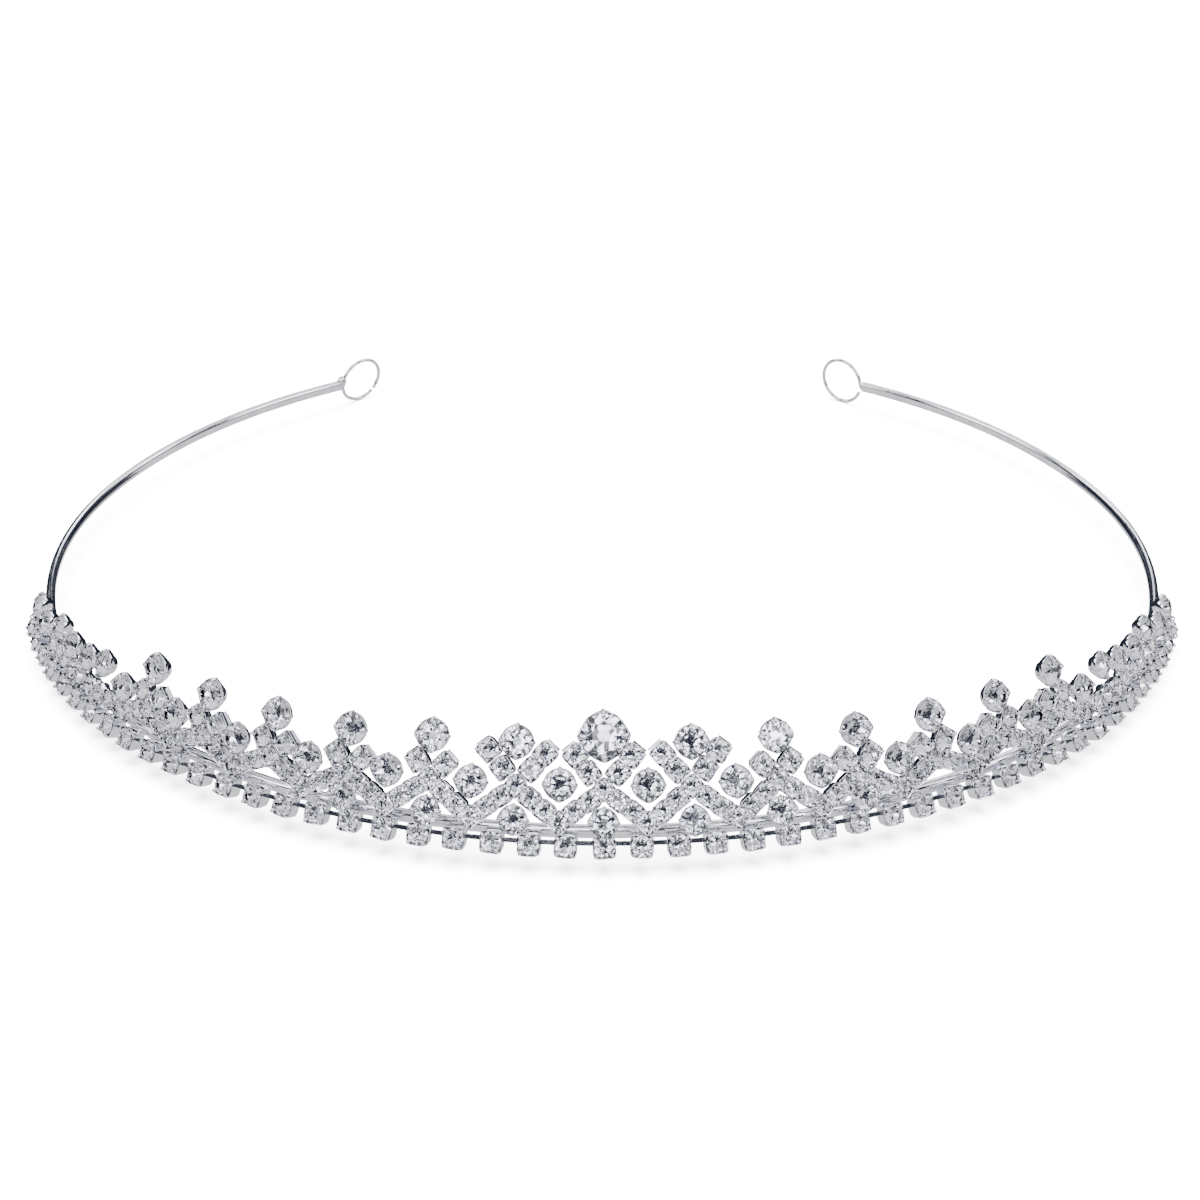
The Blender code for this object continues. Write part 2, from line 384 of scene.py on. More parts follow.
@dataclass
class Form:
    """A mesh in the making: points, faces and each face's material number."""

    points: list = field(default_factory=list)
    faces: list = field(default_factory=list)
    layers: list = field(default_factory=list)

    def add_faces(self, points: Iterable, faces: Iterable, layer: int = 0) -> "Form":
        """Adds points and the faces between them.

        Args:
            points: Places as Vectors or triples.
            faces: Tuples of numbers into points.
            layer: The faces' material number.

        Returns:
            This form.
        """
        start = len(self.points)
        self.points.extend(Vector(point) for point in points)
        for face in faces:
            self.faces.append(tuple(start + corner for corner in face))
            self.layers.append(layer)
        return self

    def add_form(self, other: "Form", matrix: Matrix) -> "Form":
        """Adds a copy of another form.

        Args:
            other: The form to copy.
            matrix: Where the copy goes.

        Returns:
            This form.
        """
        start = len(self.points)
        self.points.extend(matrix @ point for point in other.points)
        self.faces.extend(tuple(start + corner for corner in face) for face in other.faces)
        self.layers.extend(other.layers)
        return self

    def add_rings(self, rings: Sequence[Sequence]) -> "Form":
        """Adds a skin over a run of rings of equal length, with both ends filled.

        Args:
            rings: The rings, each a list of places, all turning the same way.

        Returns:
            This form.
        """
        count = len(rings[0])
        points = [point for ring in rings for point in ring]
        faces = []
        for row in range(len(rings) - 1):
            for step in range(count):
                near, far = row * count + step, row * count + (step + 1) % count
                faces.append((near, far, far + count, near + count))
        last = (len(rings) - 1) * count
        faces.append(tuple(reversed(range(count))))
        faces.append(tuple(range(last, last + count)))
        return self.add_faces(points, faces)

    def build(
        self, name: str, materials: Sequence[bpy.types.Material], smooth: Optional[float]
    ) -> bpy.types.Object:
        """Makes the object.

        Args:
            name: The piece's name.
            materials: The materials, by layer.
            smooth: Angle in degrees over which an edge stays sharp, or None for flat facets.

        Returns:
            The object, linked to the scene.
        """
        mesh = bpy.data.meshes.new(name)
        mesh.from_pydata(self.points, [], self.faces)
        mesh.polygons.foreach_set("material_index", self.layers)
        for material in materials:
            mesh.materials.append(material)
        if smooth is not None:
            mesh.shade_smooth()
            mesh.set_sharp_from_angle(angle=math.radians(smooth))
        mesh.update()
        item = bpy.data.objects.new(name, mesh)
        bpy.context.scene.collection.objects.link(item)
        return item


def ring_of(radius: float, height: float, count: int, turn: float = 0.0) -> list[Vector]:
    """A level ring of points round the Z axis.

    Args:
        radius: The ring's radius.
        height: Its height.
        count: How many points.
        turn: Angle of the first point in radians.

    Returns:
        The points, turning anticlockwise seen from above.
    """
    angles = [turn + math.tau * step / count for step in range(count)]
    return [Vector((radius * math.cos(a), radius * math.sin(a), height)) for a in angles]


def square_ring(half: float, height: float, corner: float) -> list[Vector]:
    """A level square ring with rounded corners.

    Args:
        half: Half the square's width.
        height: Its height.
        corner: Radius of its corners.

    Returns:
        Twelve points, turning anticlockwise seen from above.
    """
    points = []
    for quarter in range(4):
        middle = math.radians(45 + 90 * quarter)
        centre = Vector((math.cos(middle), math.sin(middle))) * (half - corner) * math.sqrt(2)
        for offset in (-45, 0, 45):
            angle = middle + math.radians(offset)
            x, y = centre.x + corner * math.cos(angle), centre.y + corner * math.sin(angle)
            points.append(Vector((x, y, height)))
    return points


def tube(path: Sequence[Vector], radii: Sequence[float], sides: int, up: Vector, squash: float = 1.0) -> Form:
    """A round or flattened bar along a path.

    Args:
        path: The places it runs through.
        radii: Its half width at each place.
        sides: How many sides its section has.
        up: A direction that the path never runs along, which the width lies along.
        squash: Its thickness as a share of its width.

    Returns:
        The closed form.
    """
    rings = []
    for number, place in enumerate(path):
        ahead = path[min(number + 1, len(path) - 1)] - path[max(number - 1, 0)]
        ahead.normalize()
        across = ahead.cross(up).normalized()
        rise = across.cross(ahead)
        ring = []
        for step in range(sides):
            angle = -math.tau * step / sides
            offset = across * (math.cos(angle) * squash) + rise * math.sin(angle)
            ring.append(place + offset * radii[number])
        rings.append(ring)
    return Form().add_rings(rings)


def bar(half: Vector, soft: float) -> Form:
    """A flat bar with softened edges.

    Args:
        half: Its half sizes along X, Y and Z.
        soft: Width of the softened edge.

    Returns:
        The closed form.
    """
    rings = []
    for x, inset in ((-half.x, soft), (soft - half.x, 0.0), (half.x - soft, 0.0), (half.x, soft)):
        y, z = half.y - inset, half.z - inset
        corners = ((y, z - soft), (y - soft, z), (soft - y, z), (-y, z - soft))
        outline = corners + tuple((-a, -b) for a, b in corners)
        rings.append([Vector((x, a, b)) for a, b in outline])
    return Form().add_rings(rings)


def pebble(size: Vector, sides: int = 10, rows: int = 6) -> Form:
    """A smooth rounded blob, such as a bead of solder.

    Args:
        size: Its half sizes along X, Y and Z.
        sides: Points round it.
        rows: Rings from bottom to top.

    Returns:
        The closed form.
    """
    rings = []
    for row in range(1, rows):
        angle = math.pi * row / rows - math.pi / 2
        level = ring_of(math.cos(angle), 0.0, sides)
        rings.append([Vector((p.x * size.x, p.y * size.y, math.sin(angle) * size.z)) for p in level])
    return Form().add_rings(rings)


# ---------------------------------------------------------------------- layout


@dataclass(frozen=True)
class BandCurve:
    """The band's plan: tangent arcs of one half, front to back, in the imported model's frame.

    Attributes:
        arcs: (radius, length) of each arc.
        half_length: Length from the middle to the end of the band.
        lean: How far the panel leans in from upright.
        row_out: From the band's middle out to the base row.
        row_drop: From the band's middle down to the base row.
        front: The middle of the band at its front.
    """

    front: Vector
    arcs: tuple = ((75.0 * MM, 51.0 * MM), (66.0 * MM, 76.0 * MM), (74.0 * MM, 60.0 * MM))
    half_length: float = 178.7 * MM
    lean: float = math.radians(24)
    row_out: float = 2.05 * MM
    row_drop: float = 0.6 * MM

    def at(self, along: float) -> tuple[Vector, Vector, Vector]:
        """Where the band is at a distance from its middle.

        Args:
            along: Distance from the middle, positive to the right.

        Returns:
            The place, the direction of travel to the right, and the outward direction.
        """
        x = y = heading = 0.0
        left = abs(along)
        for radius, length in self.arcs:
            turn = min(left, length) / radius
            x += radius * (math.sin(heading + turn) - math.sin(heading))
            y += radius * (math.cos(heading) - math.cos(heading + turn))
            heading += turn
            left -= min(left, length)
        side = math.copysign(1.0, along)
        heading *= side
        travel = Vector((math.cos(heading), math.sin(heading), 0.0))
        outward = Vector((math.sin(heading), -math.cos(heading), 0.0))
        return self.front + Vector((side * x, y, 0.0)), travel, outward

    def panel(self, place: Place, out: float = 0.0, turn: float = 0.0) -> Matrix:
        """A frame on the panel: X along the band, Y up the panel, Z out of its face.

        Args:
            place: Distance along the band and height up the panel.
            out: Distance out of the panel's face.
            turn: Turn about the face's direction in radians.

        Returns:
            The frame.
        """
        along, up = place
        centre, travel, outward = self.at(along)
        rise = Vector((0.0, 0.0, math.cos(self.lean))) - outward * math.sin(self.lean)
        face = travel.cross(rise)
        origin = centre + outward * self.row_out - Vector((0.0, 0.0, self.row_drop))
        origin += rise * up + face * out
        axes = Matrix((travel, rise, face)).transposed().to_4x4()
        return Matrix.Translation(origin) @ axes @ Matrix.Rotation(turn, 4, "Z")


@dataclass(frozen=True)
class Layout:
    """Where the cups and the stones stand, as (along, up) on the panel.

    Attributes:
        base_pitch: Spacing of the base row's cups.
        base_per_side: Base cups on each side of the middle one.
        motif_pitch: Spacing of the lattice motifs.
        foot_up: Height of the motifs' feet.
        joint_up: Height of each motif's joint, from the centre outward.
        arm_step: From one cup of a V's arm to the next.
        long_arm_motifs: Motifs whose arms have two cups, counted from the centre.
        base_stone_up: Height of the small round stones under the joints.
        base_stone_motifs: Motifs that have one, counted from the centre.
        peak_rise: From a joint up to its peak stone.
        centre_rise: From the centre joint up to the large stone.
        valley_up: Height of each valley stone, from the centre outward.
        end_chain_first: Where the end chain starts.
        end_chain_pitch: Spacing of its cups.
        end_chain_cups: How many cups it has.
        end_chain_up: Its height.
        end_stones: Places of the stones past the last motif.
    """

    base_pitch: float = 3.9 * MM
    base_per_side: int = 23
    motif_pitch: float = 9.45 * MM
    foot_up: float = 2.45 * MM
    joint_up: tuple = tuple(height * MM for height in (6.1, 6.2, 6.0, 5.2, 4.8, 4.4, 4.3))
    arm_step: Place = (1.55 * MM, 1.8 * MM)
    long_arm_motifs: int = 2
    base_stone_up: float = 2.8 * MM
    base_stone_motifs: int = 4
    peak_rise: float = 4.8 * MM
    centre_rise: float = 5.75 * MM
    valley_up: tuple = tuple(height * MM for height in (6.6, 6.4, 6.3, 5.8, 5.5, 5.4, 5.1))
    end_chain_first: float = 63.9 * MM
    end_chain_pitch: float = 2.35 * MM
    end_chain_cups: int = 8
    end_chain_up: float = 2.55 * MM
    end_stones: tuple = tuple(
        (along * MM, up * MM)
        for along, up in ((66.4, 6.1), (70.2, 5.3), (74.6, 4.9), (79.4, 5.1), (84.6, 3.3), (89.6, 3.0))
    )

    @property
    def ranks(self) -> range:
        """The motifs of one side, counted from the centre."""
        return range(1, len(self.joint_up))

    def joint(self, rank: int, side: Side) -> Place:
        """The joint of a motif."""
        return side.value * rank * self.motif_pitch, self.joint_up[rank]

    def peak(self, rank: int, side: Side) -> Place:
        """The stone over a motif's joint."""
        along, up = self.joint(rank, side)
        return along, up + (self.peak_rise if rank else self.centre_rise)

    def valley(self, rank: int, side: Side) -> Place:
        """The stone between a motif and the one before it."""
        return side.value * (rank - 0.5) * self.motif_pitch, self.valley_up[rank - 1]


@dataclass
class Hand:
    """The small unevenness of hand soldering, the same on every run.

    Attributes:
        tilt: The most that a cup leans, in degrees.
        turn: The most that it is turned, in degrees.
        shift: The most that it is out of place.
        dice: The seeded source of the unevenness.
    """

    tilt: float = 3.5
    turn: float = 4.0
    shift: float = 0.05 * MM
    dice: random.Random = field(default_factory=lambda: random.Random(47))

    def settle(self, seat: Matrix) -> Matrix:
        """Moves a seat by a small amount.

        Args:
            seat: Where the cup should stand.

        Returns:
            Where it really stands.
        """
        lean, nod = (math.radians(self.dice.uniform(-self.tilt, self.tilt)) for _ in range(2))
        spin = math.radians(self.dice.uniform(-self.turn, self.turn))
        move = Matrix.Translation([self.dice.uniform(-self.shift, self.shift) for _ in range(3)])
        turned = Matrix.Rotation(lean, 4, "X") @ Matrix.Rotation(nod, 4, "Y") @ Matrix.Rotation(spin, 4, "Z")
        return seat @ move @ turned

    def drop_in(self, seat: Matrix) -> Matrix:
        """Turns a stone any way round in its cup.

        Args:
            seat: The cup's seat.

        Returns:
            The stone's seat.
        """
        return seat @ Matrix.Rotation(self.dice.uniform(0.0, math.tau), 4, "Z")


# ---------------------------------------------------------- stones and settings


@dataclass(frozen=True)
class BrilliantCut:
    """An eight-sided round cut, with its girdle at height 0.

    Attributes:
        radius: Radius of the girdle.
        table: Radius of the table as a share.
        crown: Height of the table over the girdle as a share.
        pavilion: Depth of the point under the girdle as a share.
        star: Radius of the points between table and girdle as a share.
        lower: Radius of the points under the girdle as a share.
    """

    radius: float
    table: float = 0.56
    crown: float = 0.34
    pavilion: float = 0.84
    star: float = 0.78
    lower: float = 0.42

    GLASS = 0
    FOIL = 1

    def form(self) -> Form:
        """Cuts the stone.

        Returns:
            The closed stone, its crown in the glass layer and its back in the foil layer.
        """
        r = self.radius
        half_step = math.cos(math.pi / 8)
        star_up = self.crown * (1 - self.star * half_step) / (1 - self.table)
        lower_down = -self.pavilion * (1 - self.lower * half_step)
        edge = 0.035 * r
        table = ring_of(self.table * r, self.crown * r + edge, 8)
        star = ring_of(self.star * r, star_up * r + edge, 8, math.pi / 8)
        upper = ring_of(r, edge, 16)
        girdle = ring_of(r, 0.0, 16)
        lower = ring_of(self.lower * r, lower_down * r, 8, math.pi / 8)
        point = [Vector((0.0, 0.0, -self.pavilion * r))]
        crown_faces = [tuple(range(8))]
        back_faces = []
        first_star, first_upper, first_lower, tip = 8, 16, 48, 56
        for k in range(8):
            here, after, before = k, (k + 1) % 8, (k - 1) % 8
            main, mid = first_upper + 2 * k, first_upper + 2 * k + 1
            following = first_upper + (2 * k + 2) % 16
            crown_faces.append((here, first_star + here, after))
            crown_faces.append((here, first_star + before, main, first_star + here))
            crown_faces.append((first_star + here, main, mid))
            crown_faces.append((first_star + here, mid, following))
            g_main, g_mid, g_next = main + len(upper), mid + len(upper), following + len(upper)
            crown_faces.append((main, g_main, g_mid, mid))
            crown_faces.append((mid, g_mid, g_next, following))
            back_faces.append((tip, first_lower + here, g_main, first_lower + before))
            back_faces.append((first_lower + here, g_mid, g_main))
            back_faces.append((first_lower + here, g_next, g_mid))
        stone = Form().add_faces(table + star + upper + girdle + lower + point, crown_faces, self.GLASS)
        stone.faces.extend(back_faces)
        stone.layers.extend([self.FOIL] * len(back_faces))
        return stone


@dataclass(frozen=True)
class Claw:
    """A flat claw that comes up a wall and bends in over the stone.

    Attributes:
        heel: Radius where it starts, low on the wall.
        foot: Radius where it leaves the wall.
        tip: Radius where it ends on the stone.
        low: Height where it starts.
        knee: Height that its bend reaches for.
        rest: Height of its tip on the stone.
        width: Half its width.
        squash: Its thickness as a share of its width.
    """

    heel: float
    foot: float
    tip: float
    low: float
    knee: float
    rest: float
    width: float
    squash: float = 0.6

    def form(self) -> Form:
        """Bends the claw, in the XZ plane at +X.

        Returns:
            The closed form.
        """
        start = Vector((self.foot, 0.0, -self.knee * 0.3))
        corner = Vector((self.foot, 0.0, self.knee))
        end = Vector((self.tip, 0.0, self.rest))
        path = [Vector((self.heel, 0.0, self.low)), start]
        for step in range(1, 6):
            share = step / 5
            path.append(start * (1 - share) ** 2 + corner * 2 * share * (1 - share) + end * share**2)
        path.append(end + (end - corner).normalized() * self.width * 0.45)
        shares = (0.8, 1.0, 1.0, 1.0, 1.0, 0.96, 0.88, 0.45)
        return tube(path, [self.width * share for share in shares], 8, Vector((0.0, 1.0, 0.0)), self.squash)


@dataclass(frozen=True)
class SquareCup:
    """A square cup of cup chain with a claw at each corner.

    Attributes:
        width: Outer width at the rim.
        depth: Depth under the rim.
        wall: Thickness of its wall.
    """

    width: float
    depth: float = 1.25 * MM
    wall: float = 0.12 * MM

    @property
    def stone(self) -> BrilliantCut:
        """The stone that fits it."""
        return BrilliantCut(self.width / 2 - self.wall * 0.8, table=0.56, crown=0.36, pavilion=0.78)

    def form(self) -> Form:
        """Presses the cup, with its rim at height 0.

        Returns:
            The closed cup with its claws.
        """
        half = self.width / 2
        inner = half - self.wall
        corner = 0.42 * half
        rings = [
            square_ring(half * 0.84, -self.depth, corner * 0.8),
            square_ring(half * 0.93, -self.depth * 0.86, corner),
            square_ring(half, -self.depth * 0.3, corner),
            square_ring(half, -0.05 * MM, corner),
            square_ring(half - 0.04 * MM, -0.01 * MM, corner),
            square_ring(inner, -0.03 * MM, corner * 0.8),
            square_ring(inner * 0.9, -self.depth * 0.4, corner * 0.7),
            square_ring(inner * 0.45, -self.depth * 0.82, corner * 0.4),
        ]
        cup = Form().add_rings(rings)
        claw = Claw(
            heel=1.05 * half,
            foot=1.14 * half,
            tip=0.74 * half,
            low=-0.75 * self.depth,
            knee=0.44 * half,
            rest=0.27 * half,
            width=0.145 * half,
            squash=0.8,
        ).form()
        for quarter in range(4):
            cup.add_form(claw, Matrix.Rotation(math.radians(45 + 90 * quarter), 4, "Z"))
        return cup


@dataclass(frozen=True)
class RoundSetting:
    """A round cup whose rim rises in a point at each of its four claws.

    Attributes:
        radius: Radius of its stone.
        claw_turn: Angle of the first claw in degrees.
        steps: Points round the cup.
    """

    radius: float
    claw_turn: float = 90.0
    steps: int = 48

    @property
    def stone(self) -> BrilliantCut:
        """The stone that fits it."""
        return BrilliantCut(self.radius)

    def petal_ring(self, radius: float, height: float, flare: float) -> list[Vector]:
        """A ring that swells outward and upward at the claws.

        Args:
            radius: The ring's radius between the claws.
            height: Its height between the claws.
            flare: How far it swells, as a share of the stone's radius.

        Returns:
            The points.
        """
        points = []
        for point in ring_of(1.0, height, self.steps, math.radians(self.claw_turn)):
            angle = math.atan2(point.y, point.x) - math.radians(self.claw_turn)
            swell = flare * self.radius * (0.5 + 0.5 * math.cos(4 * angle)) ** 3
            reach = radius + swell
            points.append(Vector((point.x * reach, point.y * reach, height + swell * 1.3)))
        return points

    def form(self) -> Form:
        """Turns the cup, with its rim at height 0, and adds the claws.

        Returns:
            The closed cup with its claws.
        """
        r = self.radius
        wall = 0.05 * r + 0.04 * MM
        outline = (
            (0.50 * r, -0.92 * r, 0.0),
            (0.60 * r, -0.95 * r, 0.0),
            (0.84 * r, -0.60 * r, 0.0),
            (r + wall, -0.20 * r, 0.04),
            (r + wall, -0.01 * r, 0.09),
            (r + wall * 0.5, 0.03 * r, 0.09),
            (r + 0.01 * MM, 0.0, 0.06),
            (0.96 * r, -0.12 * r, 0.0),
            (0.50 * r, -0.62 * r, 0.0),
        )
        cup = Form().add_rings([self.petal_ring(*row) for row in outline])
        claw = Claw(
            heel=0.86 * r,
            foot=r + wall + 0.05 * r,
            tip=0.80 * r,
            low=-0.55 * r,
            knee=0.36 * r,
            rest=0.24 * r,
            width=0.09 * r + 0.05 * MM,
            squash=0.6,
        ).form()
        for quarter in range(4):
            cup.add_form(claw, Matrix.Rotation(math.radians(self.claw_turn + 90 * quarter), 4, "Z"))
        return cup


# ---------------------------------------------------------------- sub-assemblies


@dataclass
class Workbench:
    """What every sub-assembly needs: the curve, the layout and the finishes."""

    curve: BandCurve
    layout: Layout
    palette: Palette
    hand: Hand = field(default_factory=Hand)

    def seat(self, piece: bpy.types.Object, slot: Slot, nodes: Sequence[str] = ()) -> bpy.types.Object:
        """Fixes a piece to the tiara and reports it.

        Args:
            piece: The finished piece.
            slot: The record's slot, which is only named in the log.
            nodes: The CAD nodes that it stands for.

        Returns:
            The piece.
        """
        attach(piece, BODY)
        if nodes:
            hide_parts(*nodes)
        log.info("%s: %d faces, slot %s", piece.name, len(piece.data.polygons), slot.value)
        return piece

    def metal(
        self, name: str, form: Form, material: bpy.types.Material, slot: Slot, nodes: Sequence[str]
    ) -> None:
        """Builds a metal piece that stands for CAD nodes.

        Args:
            name: The piece's name.
            form: Its shape.
            material: Its finish.
            slot: The record's slot.
            nodes: The CAD nodes that it stands for.
        """
        self.seat(form.build(name, [material], 38.0), slot, nodes)

    def stones(self, name: str, form: Form, nodes: Sequence[str] = ()) -> None:
        """Builds a group of foiled stones.

        Args:
            name: The piece's name.
            form: The stones.
            nodes: The CAD nodes that they stand for.
        """
        materials = [self.palette.glass, self.palette.foil]
        self.seat(form.build(name, materials, None), Slot.CRYSTAL, nodes)


@dataclass
class Headband:
    """The band of oval wire with a narrow flat inside.

    Attributes:
        bench: The shared workbench.
        height: Height of the section.
        depth: Depth of the section.
        fullness: How full the oval is; 2 is an ellipse.
        flat: How far the inside is flattened.
        cap: How far the rounded ends stand out.
        cap_share: Size of an end's face as a share of the section.
        steps: Sections along the band.
        sides: Points round a section.
    """

    bench: Workbench
    height: float = 1.6 * MM
    depth: float = 1.2 * MM
    fullness: float = 2.2
    flat: float = 0.03 * MM
    cap: float = 0.25 * MM
    cap_share: float = 0.6
    steps: int = 360
    sides: int = 28

    def section(self) -> list[Place]:
        """The oval outline as (outward, up), seen along the travel."""
        points = []
        power = 2 / self.fullness
        for step in range(self.sides):
            angle = -math.tau * (step + 0.5) / self.sides
            out = math.copysign(abs(math.cos(angle)) ** power, math.cos(angle)) * self.depth / 2
            up = math.copysign(abs(math.sin(angle)) ** power, math.sin(angle)) * self.height / 2
            points.append((max(out, self.flat - self.depth / 2), up))
        return points

    def build(self) -> None:
        """Sweeps the section along the curve and rounds the two ends."""
        curve = self.bench.curve
        rings = []
        for step in range(self.steps + 1):
            along = curve.half_length * (2 * step / self.steps - 1)
            place, _, outward = curve.at(along)
            rings.append([place + outward * out + Vector((0.0, 0.0, up)) for out, up in self.section()])
        first, last = self.rounded_end(rings[0], -1), self.rounded_end(rings[-1], 1)
        form = Form().add_rings([first, *rings, last])
        self.bench.metal("headband_wire", form, self.bench.palette.band, Slot.BAND, ["headband"])

    def rounded_end(self, ring: Sequence[Vector], side: int) -> list[Vector]:
        """The smaller ring that rounds one end of the band.

        Args:
            ring: The band's last section at that end.
            side: -1 for the left end, 1 for the right.

        Returns:
            The ring.
        """
        middle = sum(ring, Vector()) / len(ring)
        travel = self.bench.curve.at(side * self.bench.curve.half_length)[1] * side
        return [middle + (point - middle) * self.cap_share + travel * self.cap for point in ring]


@dataclass
class EndRing:
    """A hairgrip loop soldered to one end of the band.

    Attributes:
        bench: The shared workbench.
        side: Which end.
        roll: How far the loop leans about the band's direction in degrees.
        swing: How far it is turned about the upright in degrees.
        gap_start: Where the butt joint opens, in degrees round from the band's end.
        gap: How wide it is open in degrees.
        bead: Half sizes of the bead of solder on the band's end, or None where there is a thin seam.
        radius: Radius of the loop's middle line.
        wire: Radius of the wire.
        overlap: How far the loop's wire sinks into the band's end.
        clearance: From the end of the band's curve to the face that the loop meets.
        seam: Half sizes of the thin seam of solder.
        solder_out: From the end of the band's curve to the middle of the solder.
        bead_up: How far a bead sits above the middle of the band.
        sides: Points round the wire.
        steps: Sections along it.
    """

    bench: Workbench
    side: Side
    roll: float
    swing: float
    gap_start: float
    gap: float
    bead: Optional[tuple] = None
    radius: float = 3.4 * MM
    wire: float = 0.28 * MM
    overlap: float = 0.1 * MM
    clearance: float = 0.3 * MM
    seam: tuple = (0.34 * MM, 0.36 * MM, 0.48 * MM)
    solder_out: float = 0.28 * MM
    bead_up: float = 0.5 * MM
    sides: int = 12
    steps: int = 72

    def build(self) -> None:
        """Bends the loop and adds the solder that holds it."""
        curve = self.bench.curve
        end, travel, _ = curve.at(self.side.value * curve.half_length)
        travel = travel * self.side.value
        upright = Vector((0.0, 0.0, 1.0))
        turn = Matrix.Rotation(math.radians(self.roll), 3, travel)
        swing = Matrix.Rotation(math.radians(self.swing), 3, upright)
        across = swing @ travel
        rise = swing @ (turn @ upright)
        centre = end + travel * (self.clearance + self.wire - self.overlap) + across * self.radius
        path = []
        for step in range(self.steps + 1):
            angle = math.pi + math.radians(self.gap_start + (360 - self.gap) * step / self.steps)
            path.append(centre + (across * math.cos(angle) + rise * math.sin(angle)) * self.radius)
        normal = across.cross(rise)
        form = tube(path, [self.wire] * len(path), self.sides, normal)
        name = f"{self.side.label}_end_ring"
        self.bench.metal(f"{name}_wire", form, self.bench.palette.band, Slot.BAND, [name])
        self.add_solder(end, travel)

    def add_solder(self, end: Vector, travel: Vector) -> None:
        """Adds the solder between the band and the loop.

        Args:
            end: The middle of the band's end.
            travel: The direction out of the band's end.
        """
        size = Vector(self.bead or self.seam)
        axes = travel.to_track_quat("X", "Z").to_matrix().to_4x4()
        place = end + travel * self.solder_out + Vector((0.0, 0.0, self.bead_up if self.bead else 0.0))
        form = Form().add_form(pebble(size, 16, 10), Matrix.Translation(place) @ axes)
        piece = form.build(f"{self.side.label}_ring_solder", [self.bench.palette.solder], 60.0)
        self.bench.seat(piece, Slot.BAND)


@dataclass
class BaseRow:
    """The base row of square cups on link bars, soldered to the front of the band.

    Attributes:
        bench: The shared workbench.
        cup: The cup and its stone.
        rim: Height of the cups' rims over the panel.
        link: Half sizes of a link bar.
        link_up: Height of the link bars on the panel.
        link_under: From the rims down to the link bars.
        dot: Half sizes of a dot of solder between a cup and the band.
        dot_up: Height of the dots on the panel.
        dot_under: How far behind the panel they lie.
    """

    bench: Workbench
    cup: SquareCup = SquareCup(2.5 * MM, 1.9 * MM)
    rim: float = 0.7 * MM
    link: tuple = (0.95 * MM, 0.27 * MM, 0.13 * MM)
    link_up: float = 0.25 * MM
    link_under: float = 1.25 * MM
    dot: tuple = (0.45 * MM, 0.38 * MM, 0.42 * MM)
    dot_up: float = 0.35 * MM
    dot_under: float = 1.05 * MM

    def build(self) -> None:
        """Sets the cups, their link bars, the solder and the stones."""
        layout, curve = self.bench.layout, self.bench.curve
        cups, stones, solder = Form(), Form(), Form()
        cup_form, stone_form = self.cup.form(), self.cup.stone.form()
        link = bar(Vector(self.link), 0.05 * MM)
        dot = pebble(Vector(self.dot), 9, 6)
        for number in range(-layout.base_per_side, layout.base_per_side + 1):
            along = number * layout.base_pitch
            seat = self.bench.hand.settle(curve.panel((along, 0.0), self.rim))
            cups.add_form(cup_form, seat)
            stones.add_form(stone_form, self.bench.hand.drop_in(seat))
            solder.add_form(dot, curve.panel((along, self.dot_up), -self.dot_under))
            if number < layout.base_per_side:
                middle = along + layout.base_pitch / 2
                cups.add_form(link, curve.panel((middle, self.link_up), self.rim - self.link_under))
        palette = self.bench.palette
        self.bench.metal("base_row_cups", cups, palette.chain, Slot.CHAIN, ["base_cup_chain"])
        self.bench.stones("base_row_stones", stones)
        self.bench.seat(solder.build("base_row_solder", [palette.solder], 60.0), Slot.CHAIN)


